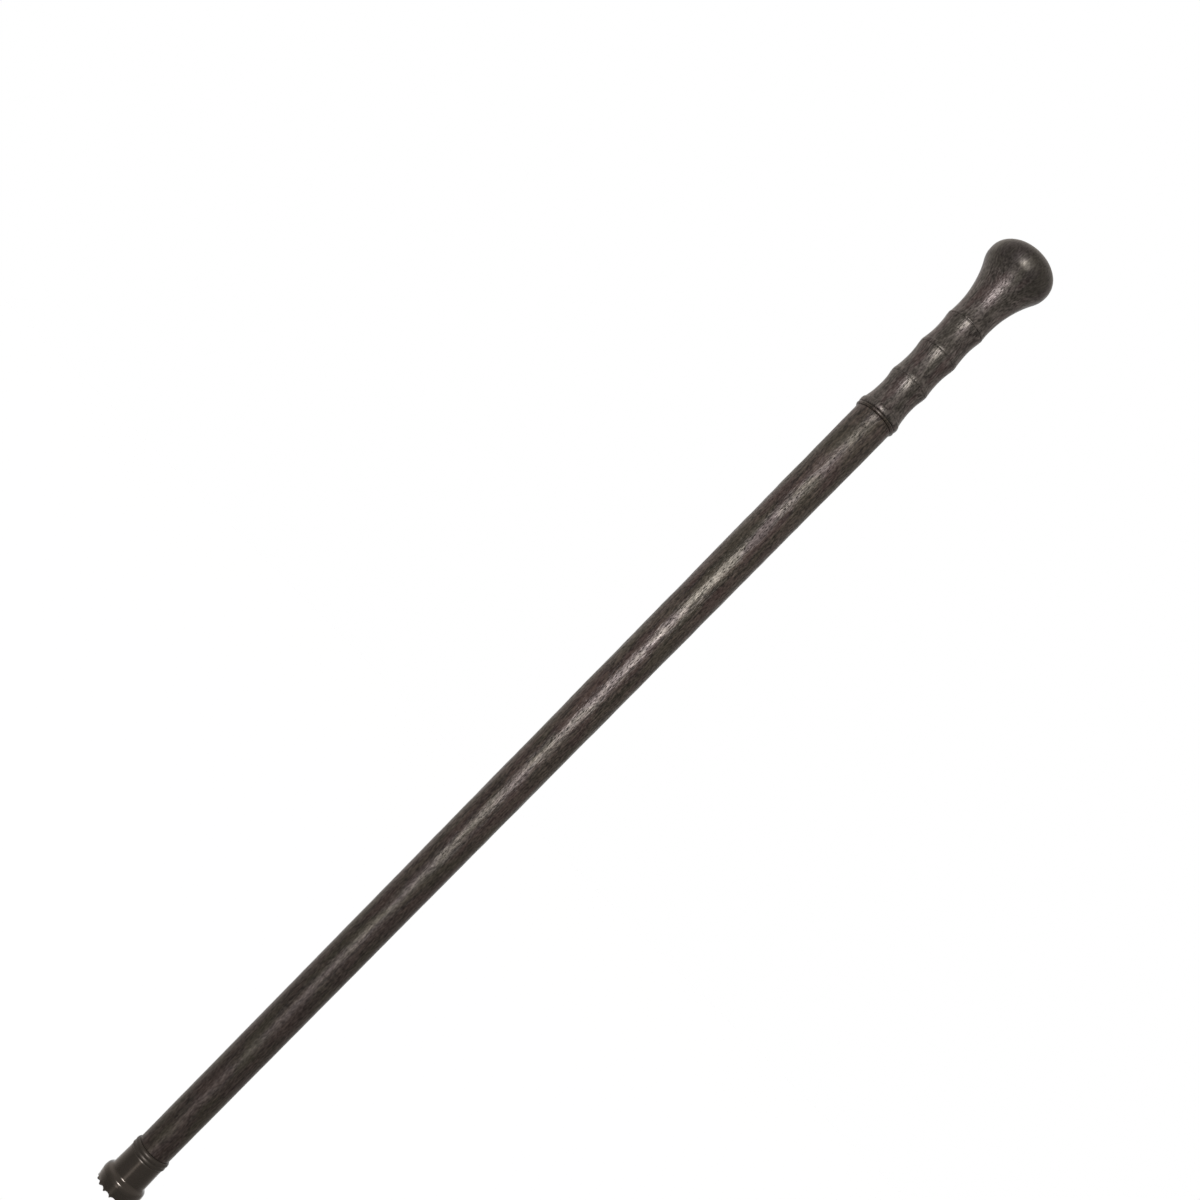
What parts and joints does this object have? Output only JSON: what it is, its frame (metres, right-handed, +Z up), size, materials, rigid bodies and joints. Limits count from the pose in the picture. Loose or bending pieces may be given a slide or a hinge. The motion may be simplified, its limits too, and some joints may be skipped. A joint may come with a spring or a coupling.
{
  "type": "hiking cane",
  "caption": "Straight hiking cane: a turned dark wooden grip with finger hollows and a round knob on a tapered wooden shaft, with a push-on rubber ferrule.",
  "frame": {"origin": "centre of the ferrule's sole, on the floor that the cane stands on", "axes": "+Z up along the cane's own axis, from the ferrule to the knob; the cane is turned about Z, so X and Y may be any two directions across it"},
  "size_m": [0.056, 0.056, 0.94],
  "materials": {
    "grip_wood": "dark-stained open-pored hardwood, satin oil finish",
    "ring_wood": "dark-stained turned hardwood, satin oil finish",
    "shaft_wood": "dark-stained open-pored hardwood, satin oil finish",
    "ferrule_rubber": "moulded black rubber, satin",
    "disc_steel": "stamped, zinc-plated",
    "bolt_steel": "rolled threads, zinc-plated",
    "insert_brass": "turned, plain"
  },
  "bodies": {
    "cane": {"grip": "grip_wood", "grip_insert": "insert_brass", "hanger_bolt": "bolt_steel", "spacer_ring": "ring_wood", "shaft": "shaft_wood"},
    "foot": {"ferrule": "ferrule_rubber", "ferrule_disc": "disc_steel"}
  },
  "joints": [
    {"name": "ferrule_pull_off", "type": "slide", "parent": "cane", "child": "foot", "axis": [0, 0, -1], "range_m": [0, 0.04]}
  ]
}
